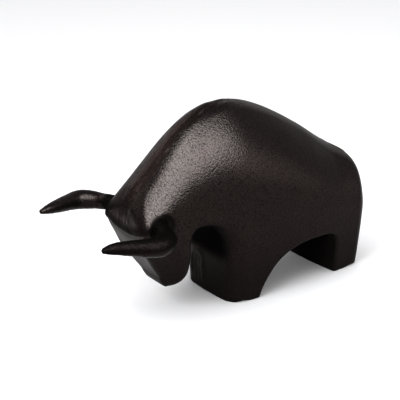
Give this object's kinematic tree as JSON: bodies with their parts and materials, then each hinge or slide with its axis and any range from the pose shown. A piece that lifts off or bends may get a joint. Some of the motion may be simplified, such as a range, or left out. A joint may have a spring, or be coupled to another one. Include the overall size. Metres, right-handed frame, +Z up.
{
  "type": "bull sculpture",
  "caption": "Cast-iron bull with a high hump, a lowered wedge-shaped head, horns curving forward and each pair of legs fused into a block, with an arch under the belly.",
  "frame": {"origin": "middle of the overall box in plan, on the ground under the feet", "axes": "+Z up, -Y the way the bull faces, +X the bull's left side"},
  "size_m": [0.1212, 0.253, 0.1501],
  "materials": {
    "cast_iron": "sand-cast, dark brown-black patina with a waxed satin gloss"
  },
  "bodies": {
    "root": {"bull": "cast_iron"}
  },
  "joints": []
}
